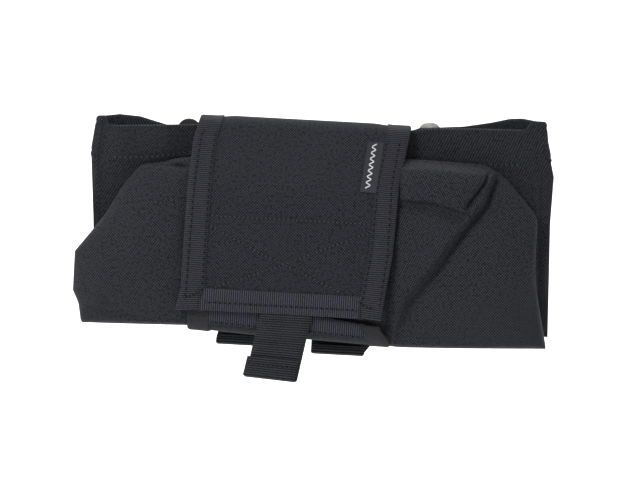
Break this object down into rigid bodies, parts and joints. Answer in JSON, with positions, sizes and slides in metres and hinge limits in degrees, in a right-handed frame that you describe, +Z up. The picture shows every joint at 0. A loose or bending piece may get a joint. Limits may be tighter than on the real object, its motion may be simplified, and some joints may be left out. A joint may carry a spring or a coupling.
{
  "type": "folding drop pouch",
  "caption": "Soft utility pouch stowed flat: the bag is folded up and held by a bound flap with a pull tab, with two snap straps on the back for a belt.",
  "frame": {"origin": "middle of the belt channel, between the two back straps and the rear panel", "axes": "+Z up as worn, -Y is the front with the flap, +X to the right as the front is seen"},
  "size_m": [0.2294, 0.0502, 0.1324],
  "materials": {
    "bag_cloth": "coarse woven nylon, charcoal",
    "shell_cloth": "coarse woven nylon, charcoal",
    "lining_cloth": "plain coated lining, near black",
    "binding_tape": "ribbed binding tape, charcoal",
    "webbing": "ribbed nylon webbing, charcoal",
    "hook_and_loop": "hook and loop tape, black",
    "label_weave": "satin woven label, blank",
    "stiffener_sheet": "plain plastic sheet",
    "snap_metal": "nickel-plated press stud",
    "dark_enamel": "black enamelled press stud cap"
  },
  "bodies": {
    "root": {"panel_outer": "shell_cloth", "panel_lining": "lining_cloth", "panel_stiffener": "stiffener_sheet", "panel_binding_left": "binding_tape", "panel_binding_right": "binding_tape", "tongue_binding": "binding_tape", "webbing_row_upper": "webbing", "webbing_row_lower": "webbing", "strap_anchor_left": "webbing", "strap_anchor_right": "webbing", "snap_stud_left": "snap_metal", "snap_stud_right": "snap_metal", "bag_front_wall": "bag_cloth", "bag_back_wall": "bag_cloth", "bag_side_left": "bag_cloth", "bag_side_right": "bag_cloth", "bag_floor_strip": "bag_cloth", "mouth_hem_front": "bag_cloth", "mouth_hem_back": "bag_cloth", "rim_stud_left": "dark_enamel", "rim_stud_right": "snap_metal", "roll_core": "bag_cloth", "bag_lobe_left": "bag_cloth", "bag_lobe_right": "bag_cloth", "loop_patch": "hook_and_loop"},
    "flap": {"flap_outer": "shell_cloth", "flap_lining": "lining_cloth", "flap_binding_left": "binding_tape", "flap_binding_right": "binding_tape", "flap_binding_end": "binding_tape", "hook_patch": "hook_and_loop", "side_label": "label_weave"},
    "pull_tab": {"pull_tab": "webbing"},
    "strap_left": {"strap_left": "webbing", "snap_socket_left": "snap_metal", "snap_cap_left": "snap_metal"},
    "strap_right": {"strap_right": "webbing", "snap_socket_right": "snap_metal", "snap_cap_right": "snap_metal"}
  },
  "joints": [
    {"name": "flap_open", "type": "hinge", "parent": "root", "child": "flap", "pos_m": [0, -0.0024, 0.04965], "axis": [-1, 0, 0], "range_deg": [0, 165]},
    {"name": "pull_tab_swing", "type": "hinge", "parent": "flap", "child": "pull_tab", "pos_m": [0, -0.0447, -0.0414], "axis": [-1, 0, 0], "range_deg": [0, 100]},
    {"name": "strap_left_peel", "type": "hinge", "parent": "root", "child": "strap_left", "pos_m": [-0.0244, 0.0001, 0.03285], "axis": [1, 0, 0], "range_deg": [0, 95]},
    {"name": "strap_right_peel", "type": "hinge", "parent": "root", "child": "strap_right", "pos_m": [0.0208, 0.0001, 0.03285], "axis": [1, 0, 0], "range_deg": [0, 95]}
  ]
}
